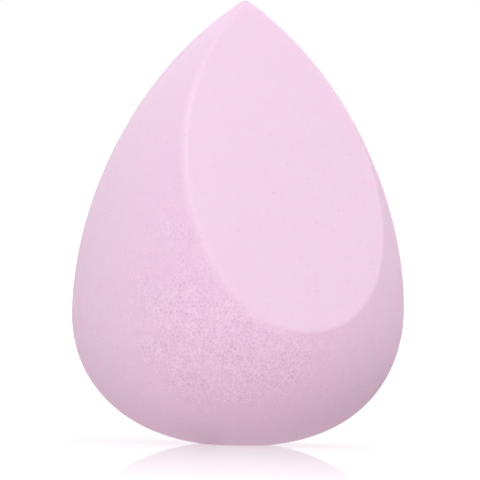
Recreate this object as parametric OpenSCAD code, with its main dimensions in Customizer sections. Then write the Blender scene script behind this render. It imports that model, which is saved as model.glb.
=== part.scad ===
// Makeup sponge: one teardrop block of soft foam with a single slanted face.
// It stands tip up on a small flat foot, which is the level of zero height. The slanted face looks towards
// -Y and runs out just in front of the tip. The block is a core grown all round by a small ball, which
// leaves the tip and the rim of the slanted face softly rounded and the slanted face itself flat.

/* [Body] */
// Height from the foot to the top of the tip
body_h = 60; // [45:0.5:80]
// Width across the fullest part
body_w = 44.8; // [34:0.2:60]
// Height of the fullest part above the foot
belly_h = 18.2; // [12:0.2:28]
// How deep the flat foot is cut into the rounded base
foot_cut = 0.25; // [0.1:0.05:0.6]
// Radius of the rounded tip and of the slanted face's rim
edge_r = 0.9; // [0.5:0.1:3]

/* [Slanted face] */
// Lean of the slanted face back from upright, in degrees
face_lean = 26; // [15:0.2:38]
// How far the slanted face stands out in front of the rounded tip
face_gap = 0.4; // [0.2:0.2:5]

/* [Outline] */
// Reach of the flat curve under the base, as a share of the core's half width
base_share = 0.838; // [0.7:0.002:0.95]
// Reach of the upright curve below the fullest part, as a share of the core's height below it
hip_share = 0.36; // [0.2:0.005:0.5]
// Reach of the upright curve above the fullest part, as a share of the core's height above it
shoulder_share = 0.32; // [0.2:0.001:0.4]
// How far out the curve bends below the tip, as a share of the core's half width
tip_out_share = 0.67; // [0.55:0.001:0.75]
// How far below the tip it bends, as a share of the core's height above the fullest part
tip_drop_share = 0.242; // [0.15:0.0005:0.28]

/* [Smoothness] */
// Steps along each of the outline's two curves
curve_steps = 12; // [8:1:14]
// Sides round the body
body_sides = 72; // [48:24:72]
// Sides round the ball
ball_sides = 24; // [12:12:24]

/* [Hidden] */

foam_pink = [0.95, 0.82, 0.91];

// The core lies one ball's radius inside the finished surface.
core_r = body_w / 2 - edge_r;
core_bottom_z = edge_r - foot_cut;
core_top_z = body_h - edge_r;
core_low_h = belly_h - core_bottom_z;
core_high_h = core_top_z - belly_h;

// The ball's outermost rings lie half a step from its poles and its equator, and reach exactly edge_r.
ball_r = edge_r / cos(180 / ball_sides);

// Edge of the blocks that cut the flats
cut_block = 2 * (body_h + body_w);

function curve_point(a, b, c, d, t) =
    pow(1 - t, 3) * a + 3 * pow(1 - t, 2) * t * b + 3 * (1 - t) * pow(t, 2) * c + pow(t, 3) * d;

function curve(a, b, c, d, first_step) =
    [for (i = [first_step : curve_steps]) curve_point(a, b, c, d, i / curve_steps)];

// Half outline of the core, in two curves that meet upright at the fullest part
base_curve = curve(
    [0, core_bottom_z],
    [core_r * base_share, core_bottom_z],
    [core_r, belly_h - core_low_h * hip_share],
    [core_r, belly_h],
    0
);
side_curve = curve(
    [core_r, belly_h],
    [core_r, belly_h + core_high_h * shoulder_share],
    [core_r * tip_out_share, core_top_z - core_high_h * tip_drop_share],
    [0, core_top_z],
    1
);

// Everything in front of the slanted plane, which passes face_gap in front of the core's top
module before_face() {
    translate([0, 0, core_top_z])
        rotate([-face_lean, 0, 0])
            translate([-cut_block / 2, -face_gap - cut_block, -cut_block / 2])
                cube(cut_block);
}

module below_foot() {
    translate([-cut_block / 2, -cut_block / 2, -cut_block])
        cube(cut_block);
}

module core() {
    difference() {
        rotate_extrude($fn = body_sides)
            polygon(concat(base_curve, side_curve));
        before_face();
    }
}

module sponge_body() {
    color(foam_pink)
        difference() {
            minkowski() {
                core();
                sphere(ball_r, $fn = ball_sides);
            }
            below_foot();
        }
}

sponge_body();
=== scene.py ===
import math

import bpy
import numpy as np
from mathutils import Matrix, Vector
from mathutils.kdtree import KDTree


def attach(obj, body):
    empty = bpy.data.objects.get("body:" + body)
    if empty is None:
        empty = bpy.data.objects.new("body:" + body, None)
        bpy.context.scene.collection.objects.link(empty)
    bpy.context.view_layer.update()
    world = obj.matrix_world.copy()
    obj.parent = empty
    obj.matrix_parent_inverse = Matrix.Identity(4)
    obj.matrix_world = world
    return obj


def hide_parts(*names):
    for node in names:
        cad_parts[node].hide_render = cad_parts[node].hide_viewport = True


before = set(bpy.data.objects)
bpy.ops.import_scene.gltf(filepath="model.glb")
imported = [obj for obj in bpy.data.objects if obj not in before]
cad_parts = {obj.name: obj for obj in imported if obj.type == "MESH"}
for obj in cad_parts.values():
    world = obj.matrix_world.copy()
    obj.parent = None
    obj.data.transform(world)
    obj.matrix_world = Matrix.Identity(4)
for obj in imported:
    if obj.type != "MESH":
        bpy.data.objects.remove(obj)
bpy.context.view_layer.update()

MM = 0.001

# The sponge's form: the same named values as the CAD source
BODY_H = 60 * MM
BODY_W = 44.8 * MM
BELLY_H = 18.2 * MM
FOOT_CUT = 0.25 * MM
EDGE_R = 0.9 * MM
FACE_LEAN = math.radians(26)
FACE_GAP = 0.4 * MM
BASE_SHARE = 0.838
HIP_SHARE = 0.36
SHOULDER_SHARE = 0.32
TIP_OUT_SHARE = 0.67
TIP_DROP_SHARE = 0.242

CORE_R = BODY_W / 2 - EDGE_R
CORE_BOTTOM_Z = EDGE_R - FOOT_CUT
CORE_TOP_Z = BODY_H - EDGE_R
CORE_LOW_H = BELLY_H - CORE_BOTTOM_Z
CORE_HIGH_H = CORE_TOP_Z - BELLY_H

ACROSS = np.array([1.0, 0.0, 0.0])
UP = np.array([0.0, 0.0, 1.0])

# The slanted face: its outward normal, how far the core's flat lies along it, the way up the face, and how
# far that way its middle lies
FACE_NORMAL = np.array([0.0, -math.cos(FACE_LEAN), math.sin(FACE_LEAN)])
FACE_AT = FACE_NORMAL[2] * CORE_TOP_Z + FACE_GAP
FACE_UP = np.array([0.0, math.sin(FACE_LEAN), math.cos(FACE_LEAN)])
FACE_MIDDLE_UP = 29 * MM

# The soft foam's face isn't quite flat. How far it stands out, as amounts of powers of the places across and
# along the face, which are counted from its middle in these units
SWELL_ACROSS = 14 * MM
SWELL_ALONG = 24 * MM
FACE_SWELL = {
    (0, 0): 0.3 * MM,
    (1, 0): 0.039 * MM,
    (0, 1): -0.098 * MM,
    (1, 1): 0.068 * MM,
    (2, 0): -0.327 * MM,
    (0, 2): -0.492 * MM,
    (2, 1): -0.069 * MM,
    (1, 2): 0.084 * MM,
    (3, 0): -0.1 * MM,
    (0, 3): 0.021 * MM,
}

# One flank of the soft foam is a little fuller low down: the side it faces, how far it stands out, and where
FLANK_SIDE = np.array([-0.9, 0.43, 0.0])
FLANK_OUT = 0.24 * MM
FLANK_HEIGHT = 11 * MM
FLANK_REACH = 6.5 * MM

# The surface is laid out from this centre, in six patches round it of so many quads a side, which are drawn
# together towards the tip this strongly
CENTRE_Z = 28 * MM
CENTRE = np.array([0.0, 0.0, CENTRE_Z])
PATCH_QUADS = 128
TIP_PULL = 0.4

# Steps along each curve of the outline, along the tip's cap and round the rim, rounds of each search, and the
# least lengths and shares that anything is divided by
CURVE_STEPS = 400
CAP_STEPS = 60
RIM_STEPS = 2400
FACE_ROUNDS = 8
RIM_POINT_ROUNDS = 40
RIM_SKIN_ROUNDS = 12
TINY = 1e-9
LEAST_FACING = 1e-6


def bezier(a, b, c, d, steps):
    """Points along the cubic curve from a to d that b and c bend."""
    t = np.linspace(0, 1, steps + 1)[:, None]
    a, b, c, d = (np.array(p, float) for p in (a, b, c, d))
    return (1 - t) ** 3 * a + 3 * (1 - t) ** 2 * t * b + 3 * (1 - t) * t ** 2 * c + t ** 3 * d


def core_outline():
    """Half outline of the core as (radius, height) rows, from the base's centre to the tip."""
    base_curve = bezier(
        (0, CORE_BOTTOM_Z),
        (CORE_R * BASE_SHARE, CORE_BOTTOM_Z),
        (CORE_R, BELLY_H - CORE_LOW_H * HIP_SHARE),
        (CORE_R, BELLY_H),
        CURVE_STEPS)
    side_curve = bezier(
        (CORE_R, BELLY_H),
        (CORE_R, BELLY_H + CORE_HIGH_H * SHOULDER_SHARE),
        (CORE_R * TIP_OUT_SHARE, CORE_TOP_Z - CORE_HIGH_H * TIP_DROP_SHARE),
        (0, CORE_TOP_Z),
        CURVE_STEPS)
    return np.vstack([base_curve, side_curve[1:]])


def patch_directions(count):
    """Unit directions and quads of a sphere laid out as six square patches, count quads a side."""
    grid = np.tan(np.linspace(-1, 1, count + 1) * math.pi / 4)
    ticks = np.arange(count + 1)
    points, keys, quads = [], [], []
    for axis in range(3):
        for side in (0, count):
            i, j = np.meshgrid(ticks, ticks, indexing="ij")
            key = np.empty((count + 1, count + 1, 3), int)
            key[..., axis] = side
            key[..., (axis + 1) % 3] = i
            key[..., (axis + 2) % 3] = j
            start = len(keys) * (count + 1) ** 2
            keys.append(key.reshape(-1, 3))
            points.append(grid[key].reshape(-1, 3))
            first = start + (i[:-1, :-1] * (count + 1) + j[:-1, :-1]).ravel()
            corners = [first, first + count + 1, first + count + 2, first + 1]
            quads.append(np.stack(corners if side else corners[::-1], 1))

    # patches that meet share the points along their edge
    keys, kept, shared = np.unique(np.vstack(keys), axis=0, return_index=True, return_inverse=True)
    points = np.vstack(points)[kept]
    points /= np.linalg.norm(points, axis=1)[:, None]
    points[:, 2] += TIP_PULL
    return points / np.linalg.norm(points, axis=1)[:, None], shared.ravel()[np.vstack(quads)]


def face_swell(points):
    """How far the face stands out beside these points, and its outward normals there."""
    across, along = points[:, 0] / SWELL_ACROSS, (points @ FACE_UP - FACE_MIDDLE_UP) / SWELL_ALONG
    out, slope_across, slope_along = (np.zeros(len(points)) for _ in range(3))
    for (i, j), amount in FACE_SWELL.items():
        out += amount * across ** i * along ** j
        if i:
            slope_across += amount * i * across ** (i - 1) * along ** j / SWELL_ACROSS
        if j:
            slope_along += amount * j * across ** i * along ** (j - 1) / SWELL_ALONG
    normal = FACE_NORMAL - slope_across[:, None] * ACROSS - slope_along[:, None] * FACE_UP
    return out, normal / np.linalg.norm(normal, axis=1)[:, None]


def round_body(way, outline):
    """How far the round body's skin lies from the centre each way, and the core's points nearest to it."""
    step = np.gradient(outline, axis=0)
    out = np.stack([step[:, 1], -step[:, 0]], 1)
    out /= np.linalg.norm(out, axis=1)[:, None]

    # the core's last point stays the nearest one under the ball's cap over the tip
    cap = np.linspace(math.atan2(out[-1, 0], out[-1, 1]), 0, CAP_STEPS)[1:]
    out = np.vstack([out, np.stack([np.sin(cap), np.cos(cap)], 1)])
    core = np.vstack([outline, np.repeat(outline[-1:], len(cap), 0)])
    skin = core + EDGE_R * out
    polar = np.arctan2(skin[:, 0], skin[:, 1] - CENTRE_Z)
    order = np.argsort(polar)
    level_part = np.hypot(way[:, 0], way[:, 1])
    at = np.arctan2(level_part, way[:, 2])

    def along(values):
        return np.interp(at, polar[order], values[order])

    reach = along(np.hypot(skin[:, 0], skin[:, 1] - CENTRE_Z))
    level_part = level_part[:, None]
    side = np.divide(way[:, :2], level_part, out=np.zeros_like(way[:, :2]), where=level_part > TINY)
    return reach, np.column_stack([side * along(core[:, 0])[:, None], along(core[:, 1])])


def slanted_face(way):
    """How far the slanted face lies from the centre each way."""
    facing = np.maximum(way @ FACE_NORMAL, LEAST_FACING)
    level = FACE_AT + EDGE_R - CENTRE @ FACE_NORMAL
    reach = np.minimum(level / facing, BODY_H)
    for _ in range(FACE_ROUNDS):
        swell = face_swell(CENTRE + way * reach[:, None])[0]
        reach = np.clip((level + swell) / facing, 0, BODY_H)
    return reach


def rim_curve(outline):
    """The closed curve where the core's flat meets its round body."""
    middle = FACE_NORMAL * FACE_AT + FACE_UP * FACE_MIDDLE_UP
    turn = np.linspace(0, 2 * math.pi, RIM_STEPS, endpoint=False)
    spoke = np.cos(turn)[:, None] * ACROSS + np.sin(turn)[:, None] * FACE_UP

    def at(far):
        points = middle + spoke * far[:, None]
        return points + FACE_NORMAL * face_swell(points)[0][:, None]

    inside, outside = np.zeros(RIM_STEPS), np.full(RIM_STEPS, BODY_H)
    for _ in range(RIM_POINT_ROUNDS):
        half = (inside + outside) / 2
        points = at(half)
        core_reach = np.interp(points[:, 2], outline[:, 1], outline[:, 0], left=0, right=0)
        within = np.hypot(points[:, 0], points[:, 1]) < core_reach
        inside, outside = np.where(within, half, inside), np.where(within, outside, half)
    return at(inside)


def rim_finder(rim):
    """A function that gives the nearest points of the closed rim to some points."""
    tree = KDTree(len(rim))
    for i, point in enumerate(rim):
        tree.insert(point, i)
    tree.balance()

    def nearest_on_rim(points):
        pick = np.array([tree.find(point)[1] for point in points])
        found = []
        for step in (-1, 1):
            start, span = rim[pick], rim[(pick + step) % len(rim)] - rim[pick]
            share = np.clip(((points - start) * span).sum(1) / (span ** 2).sum(1), 0, 1)
            found.append(start + share[:, None] * span)
        before, after = found
        far_before, far_after = (np.linalg.norm(points - side, axis=1) for side in found)
        return np.where((far_after < far_before)[:, None], after, before)

    return nearest_on_rim


def sponge_surface():
    """Points, normals and quads of the sponge: the core grown by EDGE_R, flat where it stands."""
    way, quads = patch_directions(PATCH_QUADS)
    outline = core_outline()
    round_reach, nearest_round = round_body(way, outline)
    face_reach = slanted_face(way)
    on_face = face_reach < round_reach
    reach = np.minimum(face_reach, round_reach)
    point = CENTRE + way * reach[:, None]
    nearest = np.where(on_face[:, None], point - EDGE_R * face_swell(point)[1], nearest_round)

    # the rim: where the nearest point of the flat or of the round body isn't on the core
    core_reach = np.interp(nearest[:, 2], outline[:, 1], outline[:, 0])
    beyond = np.hypot(nearest[:, 0], nearest[:, 1]) > core_reach
    cut_away = nearest @ FACE_NORMAL - face_swell(nearest)[0] > FACE_AT
    rows = np.flatnonzero(np.where(on_face, beyond, cut_away))
    nearest_on_rim = rim_finder(rim_curve(outline))
    for _ in range(RIM_SKIN_ROUNDS):
        guess = CENTRE + way[rows] * reach[rows, None]
        nearest[rows] = nearest_on_rim(guess)
        away = guess - nearest[rows]
        far = np.linalg.norm(away, axis=1)
        reach[rows] -= (far - EDGE_R) / ((away * way[rows]).sum(1) / far)
    point = CENTRE + way * reach[:, None]
    normal = point - nearest
    normal /= np.linalg.norm(normal, axis=1)[:, None]

    # the fuller flank
    fullness = np.clip(normal @ FLANK_SIDE, 0, 1) ** 2
    fullness = fullness * np.exp(-((point[:, 2] - FLANK_HEIGHT) / FLANK_REACH) ** 2)
    point += normal * (FLANK_OUT * fullness)[:, None]

    # the foot
    low = point[:, 2] < 0
    point[low] = CENTRE + way[low] * (-CENTRE_Z / way[low, 2])[:, None]
    point[low, 2] = 0
    normal[low] = -UP
    return point, normal, quads


def make_sponge():
    points, normals, quads = sponge_surface()
    mesh = bpy.data.meshes.new("foam_sponge")
    mesh.from_pydata(points.tolist(), [], quads.tolist())
    mesh.update()
    mesh.polygons.foreach_set("use_smooth", np.ones(len(mesh.polygons), bool))
    mesh.normals_split_custom_set_from_vertices(normals.tolist())
    sponge = bpy.data.objects.new("foam_sponge", mesh)
    bpy.context.scene.collection.objects.link(sponge)
    return sponge


# Sockets of a Mix node that mixes colours
MIX_SHARE = 0
MIX_A = 6
MIX_B = 7
MIX_RESULT = 2


class Nodes:
    """A node tree, with short ways to add and join its nodes. An input is a socket or a plain value."""

    def __init__(self, tree):
        self.tree = tree
        tree.nodes.clear()

    def add(self, kind, inputs=None, **settings):
        node = self.tree.nodes.new(kind)
        for name, value in settings.items():
            setattr(node, name, value)
        for name, value in (inputs or {}).items():
            socket = node.inputs[name]
            if isinstance(value, bpy.types.NodeSocket):
                self.tree.links.new(value, socket)
            else:
                socket.default_value = value
        return node

    def math(self, operation, a, b, clamp=False):
        return self.add("ShaderNodeMath", {0: a, 1: b}, operation=operation, use_clamp=clamp).outputs[0]

    def product(self, first, *others):
        for other in others:
            first = self.math("MULTIPLY", first, other)
        return first

    def ramp(self, value, low, high, out_low=0.0, out_high=1.0, smooth=True):
        """From out_low to out_high, as value goes from low to high."""
        kind = "SMOOTHSTEP" if smooth else "LINEAR"
        inputs = {"Value": value, "From Min": low, "From Max": high, "To Min": out_low, "To Max": out_high}
        return self.add("ShaderNodeMapRange", inputs, interpolation_type=kind).outputs["Result"]

    def mix_colour(self, share, a, b):
        """Colour a, or b where share is 1."""
        inputs = {MIX_SHARE: share, MIX_A: a, MIX_B: b}
        return self.add("ShaderNodeMix", inputs, data_type="RGBA").outputs[MIX_RESULT]

    def mix_shader(self, share, a, b):
        """Shader a, or b where share is 1."""
        return self.add("ShaderNodeMixShader", {"Fac": share, 1: a.outputs[0], 2: b.outputs[0]})

    def noise(self, place, per_metre, **inputs):
        return self.add("ShaderNodeTexNoise", {"Vector": place, "Scale": per_metre, **inputs}).outputs

    def along(self, place, direction):
        """How far a place lies along a direction."""
        inputs = {0: place, 1: tuple(direction)}
        return self.add("ShaderNodeVectorMath", inputs, operation="DOT_PRODUCT").outputs["Value"]


# The foam's colours: its skin, the skin of the face, a painted highlight beside the face's rim, a painted
# highlight on the walls between pores, painted shade in the pores, and painted shade in lone pits
FOAM_COLOUR = (0.818, 0.628, 0.773, 1)
FACE_COLOUR = (0.846, 0.676, 0.802, 1)
RIM_HIGHLIGHT_COLOUR = (0.870, 0.712, 0.830, 1)
WALL_HIGHLIGHT_COLOUR = (0.908, 0.747, 0.873, 1)
PIT_SHADE_COLOUR = (0.728, 0.510, 0.673, 1)
LONE_PIT_SHADE_COLOUR = (0.66, 0.44, 0.60, 1)
# How strongly the painted highlight on the walls and the painted shade in pores and lone pits show
WALL_HIGHLIGHT_STRENGTH = 1.2
PIT_SHADE_STRENGTH = 0.76
LONE_PIT_SHADE_STRENGTH = 0.16

# Depths below the face where its colour starts and where it is full
FACE_EDGE = (0.3 * MM, 0.05 * MM)
# A painted highlight beside the rim on one side, where the pores are also closed, from where it starts to
# where it
# is full: depths below the face at its upper and its lower edge, places across the sponge, and heights at its
# top.
# How strong it is low down and high up, and between which heights
RIM_HIGHLIGHT_START = (0.03 * MM, 0.15 * MM)
RIM_HIGHLIGHT_END = (1.0 * MM, 0.2 * MM)
RIM_HIGHLIGHT_ACROSS = (1 * MM, -7 * MM)
RIM_HIGHLIGHT_TOP = (55 * MM, 46 * MM)
RIM_HIGHLIGHT_STRENGTH = (0.5, 0.75)
RIM_HIGHLIGHT_HEIGHTS = (22 * MM, 36 * MM)

# How far the pores are open towards the tip and low down, and between which heights
OPEN_UP_THE_BODY = (0.05, 1.15)
OPEN_HEIGHTS = (46 * MM, 6 * MM)
# How far they stay open beside the foot and above it, and between which heights
OPEN_BY_FOOT = (0.4, 1.0)
FOOT_HEIGHTS = (1 * MM, 8 * MM)
# The side where they are most open, how far they are open beside it and on it, and how much they open again
# round the back, each with the places in that side's direction between which this changes
OPEN_SIDE = (-0.485, -0.875, 0.0)
OPEN_ON_SIDE = (0.28, 1.0)
SIDE_PLACES = (15.5 * MM, 20.5 * MM)
OPEN_ON_BACK = (0.0, 0.6)
BACK_PLACES = (6 * MM, -8 * MM)
# Patches: noise per metre, how far the pores are open in them, and between which levels of the noise
PATCHES = 170
OPEN_IN_PATCH = (0.6, 1.15)
PATCH_LEVELS = (0.3, 0.65)

# Packed pores: cells per metre, coarse and fine, where a cell's wall starts and ends, as a share of a cell,
# how deep coarse pores are by luck, the fine ones' share, and the mean of the whole pattern
COARSE_CELLS = 1900
FINE_CELLS = 3400
WALL_EDGE = (0.02, 0.24)
COARSE_DEPTHS = (0.65, 1.15)
FINE_SHARE = 0.5
PORE_MEAN = 0.6
# Clumps of deeper and shallower pores: noise per metre, and how far it goes either way
CLUMPS = 700
CLUMP_DEPTHS = (-0.75, 0.75)
# The walls wander: noise per metre, and how far it moves them
DRIFTS = 900
WANDER = 0.7 * MM

# Lone pits in the closed skin: cells per metre, the share that are pits, their middle and edge, as a share
# of a cell, and how deep they are high up and low down, between which heights
LONE_CELLS = 2150
LONE_PITS = 0.07
LONE_PIT_EDGE = (0.2, 0.6)
LONE_PIT_DEPTHS = (0.3, 1.0)
LONE_PIT_HEIGHTS = (52 * MM, 38 * MM)

# The relief: how deep a full pore is, a lone pit's share of that, and the skin's slow swells: noise per
# metre and their share
PORE_DEPTH = 0.03 * MM
LONE_PIT_SHARE = 0.75
SKIN_SWELLS = 140
SKIN_SWELL_SHARE = 0.22


def face_depth(n, place):
    """How deep each point lies below the face: 0 on it, growing round its rim."""
    across_share = n.math("DIVIDE", n.along(place, ACROSS), SWELL_ACROSS)
    from_middle = n.math("SUBTRACT", n.along(place, FACE_UP), FACE_MIDDLE_UP)
    along_share = n.math("DIVIDE", from_middle, SWELL_ALONG)
    level = FACE_AT + EDGE_R
    for (i, j), amount in FACE_SWELL.items():
        level = n.math("ADD", level, n.product(amount, *[across_share] * i, *[along_share] * j))
    return n.math("SUBTRACT", level, n.along(place, FACE_NORMAL))


def rim_highlight_share(n, place, depth):
    """A painted highlight beside the rim on one side, where the pores are also closed."""
    height = n.along(place, UP)
    return n.product(
        n.ramp(depth, *RIM_HIGHLIGHT_START),
        n.ramp(depth, *RIM_HIGHLIGHT_END),
        n.ramp(n.along(place, ACROSS), *RIM_HIGHLIGHT_ACROSS),
        n.ramp(height, *RIM_HIGHLIGHT_HEIGHTS, *RIM_HIGHLIGHT_STRENGTH),
        n.ramp(height, *RIM_HIGHLIGHT_TOP))


def pore_openness(n, place):
    """How far the pores are open: hardly towards the tip, most low down on one side, and in patches."""
    height, sideways = n.along(place, UP), n.along(place, OPEN_SIDE)
    low_down = n.math("MULTIPLY", n.ramp(height, *OPEN_HEIGHTS, *OPEN_UP_THE_BODY, smooth=False),
                      n.ramp(height, *FOOT_HEIGHTS, *OPEN_BY_FOOT))
    round_about = n.math("ADD", n.ramp(sideways, *SIDE_PLACES, *OPEN_ON_SIDE),
                         n.ramp(sideways, *BACK_PLACES, *OPEN_ON_BACK))
    patches = n.noise(place, PATCHES, Detail=2.0, Roughness=0.6)["Fac"]
    patchy = n.math("MULTIPLY", round_about, n.ramp(patches, *PATCH_LEVELS, *OPEN_IN_PATCH))
    return n.math("MULTIPLY", low_down, patchy)


def cells(n, place, per_metre, feature="F1"):
    inputs = {"Vector": place, "Scale": per_metre, "Randomness": 1.0}
    return n.add("ShaderNodeTexVoronoi", inputs, voronoi_dimensions="3D", feature=feature).outputs


def luck(n, cell):
    """A random share from 0 to 1 for each cell."""
    return n.add("ShaderNodeSeparateColor", {"Color": cell["Color"]}).outputs["Green"]


def packed_pores(n, place, wandered):
    """Packed pores of two sizes, in clumps: below 0 on the thin walls between them, above 0 inside."""
    def pores(per_metre):
        return n.ramp(cells(n, wandered, per_metre, "DISTANCE_TO_EDGE")["Distance"], *WALL_EDGE)

    uneven = n.ramp(luck(n, cells(n, wandered, COARSE_CELLS)), 0.0, 1.0, *COARSE_DEPTHS, smooth=False)
    both = n.math("ADD", n.product(pores(COARSE_CELLS), uneven), n.product(pores(FINE_CELLS), FINE_SHARE))
    clumps = n.noise(place, CLUMPS, Detail=3.0, Roughness=0.6)["Fac"]
    clumped = n.math("ADD", both, n.ramp(clumps, 0.0, 1.0, *CLUMP_DEPTHS, smooth=False))
    return n.math("SUBTRACT", clumped, PORE_MEAN)


def lone_pits(n, place, wandered):
    """Lone pits: 1 in the middle of each, 0 round it."""
    spots = cells(n, wandered, LONE_CELLS)
    return n.product(
        n.ramp(spots["Distance"], *LONE_PIT_EDGE, 1.0, 0.0),
        n.ramp(luck(n, spots), 1 - LONE_PITS, 1 - LONE_PITS / 2),
        n.ramp(n.along(place, UP), *LONE_PIT_HEIGHTS, *LONE_PIT_DEPTHS))


def foam_material():
    material = bpy.data.materials.new("pink_foam")
    material.use_nodes = True
    n = Nodes(material.node_tree)
    place = n.add("ShaderNodeTexCoord").outputs["Object"]
    drift = n.noise(place, DRIFTS, Detail=2.0)["Color"]
    wandered = n.add("ShaderNodeVectorMath", {0: drift, 1: (WANDER, WANDER, WANDER), 2: place},
                     operation="MULTIPLY_ADD").outputs["Vector"]

    depth = face_depth(n, place)
    on_face = n.ramp(depth, *FACE_EDGE)
    # painted highlight beside the rim on one side; the pores are closed there too
    rim_highlight = rim_highlight_share(n, place, depth)
    off_rim = n.math("MULTIPLY", n.math("SUBTRACT", 1.0, on_face), n.math("SUBTRACT", 1.0, rim_highlight))
    openness = n.math("MULTIPLY", pore_openness(n, place), off_rim)
    pores = n.math("MULTIPLY", packed_pores(n, place, wandered), openness)
    lone = lone_pits(n, place, wandered)

    swells = n.noise(place, SKIN_SWELLS, Detail=1.0)["Fac"]
    pitted = n.math("ADD", pores, n.math("MULTIPLY", lone, LONE_PIT_SHARE))
    surface = n.math("SUBTRACT", n.math("MULTIPLY", swells, SKIN_SWELL_SHARE), pitted)
    bump = n.add("ShaderNodeBump", {"Height": surface, "Strength": 1.0, "Distance": PORE_DEPTH})

    # the skin's colour, with the face and the painted rim highlight
    skin = n.mix_colour(rim_highlight, n.mix_colour(on_face, FOAM_COLOUR, FACE_COLOUR), RIM_HIGHLIGHT_COLOUR)
    # painted highlight on the walls between pores, and painted shade in the pores
    wall_highlit = n.mix_colour(n.math("MULTIPLY", pores, -WALL_HIGHLIGHT_STRENGTH, clamp=True), skin, WALL_HIGHLIGHT_COLOUR)
    pit_shaded = n.mix_colour(n.math("MULTIPLY", pores, PIT_SHADE_STRENGTH, clamp=True), wall_highlit, PIT_SHADE_COLOUR)
    # painted shade in the lone pits
    shade = n.mix_colour(n.math("MULTIPLY", lone, LONE_PIT_SHADE_STRENGTH, clamp=True), pit_shaded, LONE_PIT_SHADE_COLOUR)
    foam = n.add("ShaderNodeBsdfPrincipled", {
        "Base Color": shade,
        "Roughness": 0.9,
        "Diffuse Roughness": 1.0,
        "Specular IOR Level": 0.2,
        "Subsurface Weight": 0.3,
        "Subsurface Radius": (1.0, 0.6, 0.8),
        "Subsurface Scale": 1.2 * MM,
        "Sheen Weight": 0.05,
        "Sheen Roughness": 0.5,
        "Normal": bump.outputs["Normal"],
    })
    n.add("ShaderNodeOutputMaterial", {"Surface": foam.outputs[0]})
    return material


sponge = make_sponge()
sponge.data.materials.append(foam_material())
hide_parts("sponge_body")
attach(sponge, "root")

# Half the floor's side, in metres
FLOOR_HALF = 8.0
# Light that the floor gives the object, tinted by the foam it lights
FLOOR_GLOW = (0.679, 0.568, 0.610, 1)
# What the floor shows: its own light near the sponge, tinted pink there as painted bounce light from the
# foam, and far off, between which distances in metres, and how white it is under the lamps
FLOOR_OWN_NEAR_PINK_BOUNCE = (0.685, 0.658, 0.671, 1)
FLOOR_OWN_FAR = (1.0, 1.0, 1.0, 1)
FLOOR_FADE = (0.1, 0.6)
FLOOR_WHITE = (0.39, 0.39, 0.39, 1)
# The polish round the foot: its share of a grazing look up close, the distances where it starts to fade and
# is gone, how fast it falls off as the look gets steeper, and its roughness
POLISH_SHARE = 0.464
POLISH_FADE = (20 * MM, 220 * MM)
POLISH_FALLOFF = 5.0
POLISH_ROUGHNESS = 0.03
# The world's light on the object
WORLD_LIGHT = 0.08
WHITE = (1, 1, 1, 1)


def shown_light_path(n):
    """1 for rays that show the background: the camera's, and those seen in gloss or through glass."""
    rays = n.add("ShaderNodeLightPath").outputs
    seen = n.math("MAXIMUM", rays["Is Camera Ray"], rays["Is Glossy Ray"])
    return n.math("MAXIMUM", seen, rays["Is Transmission Ray"])


def floor_material():
    material = bpy.data.materials.new("white_floor")
    material.use_nodes = True
    n = Nodes(material.node_tree)
    place = n.add("ShaderNodeTexCoord").outputs["Object"]
    far = n.add("ShaderNodeVectorMath", {0: place}, operation="LENGTH").outputs["Value"]

    white = n.add("ShaderNodeBsdfDiffuse", {"Color": FLOOR_WHITE})
    # the floor's own light, with painted pink bounce light from the foam near the sponge
    own = n.mix_colour(n.ramp(far, *FLOOR_FADE), FLOOR_OWN_NEAR_PINK_BOUNCE, FLOOR_OWN_FAR)
    glow = n.add("ShaderNodeEmission", {"Color": own, "Strength": 1.0})
    lit = n.add("ShaderNodeAddShader", {0: white.outputs[0], 1: glow.outputs[0]})

    mirror = n.add("ShaderNodeBsdfGlossy", {"Color": WHITE, "Roughness": POLISH_ROUGHNESS})
    grazing = n.add("ShaderNodeLayerWeight", {"Blend": 0.5}).outputs["Facing"]
    polish = n.math("MULTIPLY", n.math("POWER", grazing, POLISH_FALLOFF),
                    n.ramp(far, *POLISH_FADE, POLISH_SHARE, 0.0))
    polished = n.mix_shader(polish, lit, mirror)

    lamp = n.add("ShaderNodeEmission", {"Color": FLOOR_GLOW, "Strength": 1.0})
    shown = n.mix_shader(shown_light_path(n), lamp, polished)
    n.add("ShaderNodeOutputMaterial", {"Surface": shown.outputs[0]})
    return material


def make_floor():
    mesh = bpy.data.meshes.new("floor")
    corners = [(x * FLOOR_HALF, y * FLOOR_HALF, 0) for x, y in ((-1, -1), (1, -1), (1, 1), (-1, 1))]
    mesh.from_pydata(corners, [], [(0, 1, 2, 3)])
    mesh.materials.append(floor_material())
    floor = bpy.data.objects.new("floor", mesh)
    bpy.context.scene.collection.objects.link(floor)
    return floor


def make_world():
    """A dim studio that shows white behind the object."""
    world = bpy.data.worlds.new("studio")
    world.use_nodes = True
    n = Nodes(world.node_tree)
    lit = n.add("ShaderNodeBackground", {"Color": WHITE, "Strength": WORLD_LIGHT})
    seen = n.add("ShaderNodeBackground", {"Color": WHITE, "Strength": 1.0})
    both = n.mix_shader(shown_light_path(n), lit, seen)
    n.add("ShaderNodeOutputWorld", {"Surface": both.outputs[0]})
    bpy.context.scene.world = world


make_floor()
make_world()

# Where the camera stands, in degrees and metres, and how it is rolled
CAMERA_AZIMUTH = -25.62
CAMERA_ELEVATION = 1.0
CAMERA_DISTANCE = 1.5
CAMERA_ROLL = math.radians(1.304)
# What it looks at: the frame's pixels across, what each covers at the sponge, and the middle's place
FRAME_PIXELS = 480
PIXEL = 0.13511 * MM
AIM_HEIGHT = 27.62 * MM
AIM_RIGHT = 0.03 * MM
# Its sensor in millimetres, and how near and how far it sees in metres
SENSOR_WIDTH = 36.0
CLIP_START = 0.05
CLIP_END = 50.0

# The light from the right is a little pinker
WHITE_LIGHT = (1.0, 1.0, 1.0)
PINK_LIGHT = (1.03, 0.91, 0.97)
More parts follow.
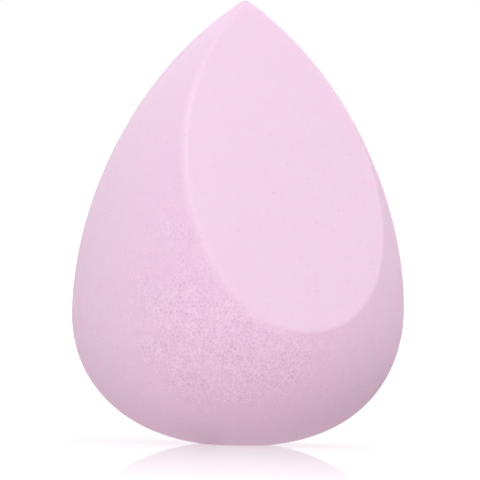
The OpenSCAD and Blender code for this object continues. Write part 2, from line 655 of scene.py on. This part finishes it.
# Softboxes by name: azimuth from the camera's and elevation in degrees, distance and side of the square in
# metres, power in watts, and colour
LAMPS = {
    "front": (0, 15, 0.8, 0.6, 1.865, WHITE_LIGHT),
    "near_front": (0, 25, 0.3, 0.25, 0.231, WHITE_LIGHT),
    "key": (0, 50, 0.8, 0.6, 0.90, WHITE_LIGHT),
    "left": (-50, 15, 0.8, 0.6, 1.53, WHITE_LIGHT),
    "right_top": (50, 50, 0.8, 0.6, 1.383, PINK_LIGHT),
    "right_high": (90, 55, 0.8, 0.6, 0.635, PINK_LIGHT),
    "back_left": (-140, 35, 0.8, 0.6, 2.0, WHITE_LIGHT),
    "back_right": (140, 35, 0.8, 0.6, 1.7, WHITE_LIGHT),
    "back": (180, 50, 0.8, 0.6, 2.1, WHITE_LIGHT),
}
LAMP_AIM = Vector((0, 0, 28 * MM))


def towards(azimuth, elevation):
    """Unit vector from the object to where azimuth 0 lies on -Y."""
    a, e = math.radians(azimuth), math.radians(elevation)
    return Vector((math.sin(a) * math.cos(e), -math.cos(a) * math.cos(e), math.sin(e)))


def add_lamp(name, azimuth, elevation, distance, size, power, colour):
    lamp = bpy.data.lights.new(name, "AREA")
    lamp.shape = "SQUARE"
    lamp.size = size
    lamp.energy = power
    lamp.color = colour
    holder = bpy.data.objects.new(name, lamp)
    back = towards(CAMERA_AZIMUTH + azimuth, elevation)
    holder.location = LAMP_AIM + back * distance
    holder.rotation_mode = "QUATERNION"
    holder.rotation_quaternion = (-back).to_track_quat("-Z", "Y")
    holder.visible_camera = False
    bpy.context.scene.collection.objects.link(holder)


def make_camera():
    lens = bpy.data.cameras.new("camera")
    lens.sensor_width = SENSOR_WIDTH
    lens.lens = SENSOR_WIDTH * CAMERA_DISTANCE / (FRAME_PIXELS * PIXEL)
    lens.clip_start, lens.clip_end = CLIP_START, CLIP_END
    camera = bpy.data.objects.new("camera", lens)
    back = towards(CAMERA_AZIMUTH, CAMERA_ELEVATION)
    facing = (-back).to_track_quat("-Z", "Y").to_matrix()
    aim = Vector((0, 0, AIM_HEIGHT)) + facing @ Vector((AIM_RIGHT, 0, 0))
    rolled = facing @ Matrix.Rotation(CAMERA_ROLL, 3, "Z")
    camera.matrix_world = Matrix.Translation(aim + back * CAMERA_DISTANCE) @ rolled.to_4x4()
    bpy.context.scene.collection.objects.link(camera)
    return camera


for name, lamp in LAMPS.items():
    add_lamp(name, *lamp)
bpy.context.scene.camera = make_camera()
bpy.context.scene.view_settings.view_transform = "Standard"
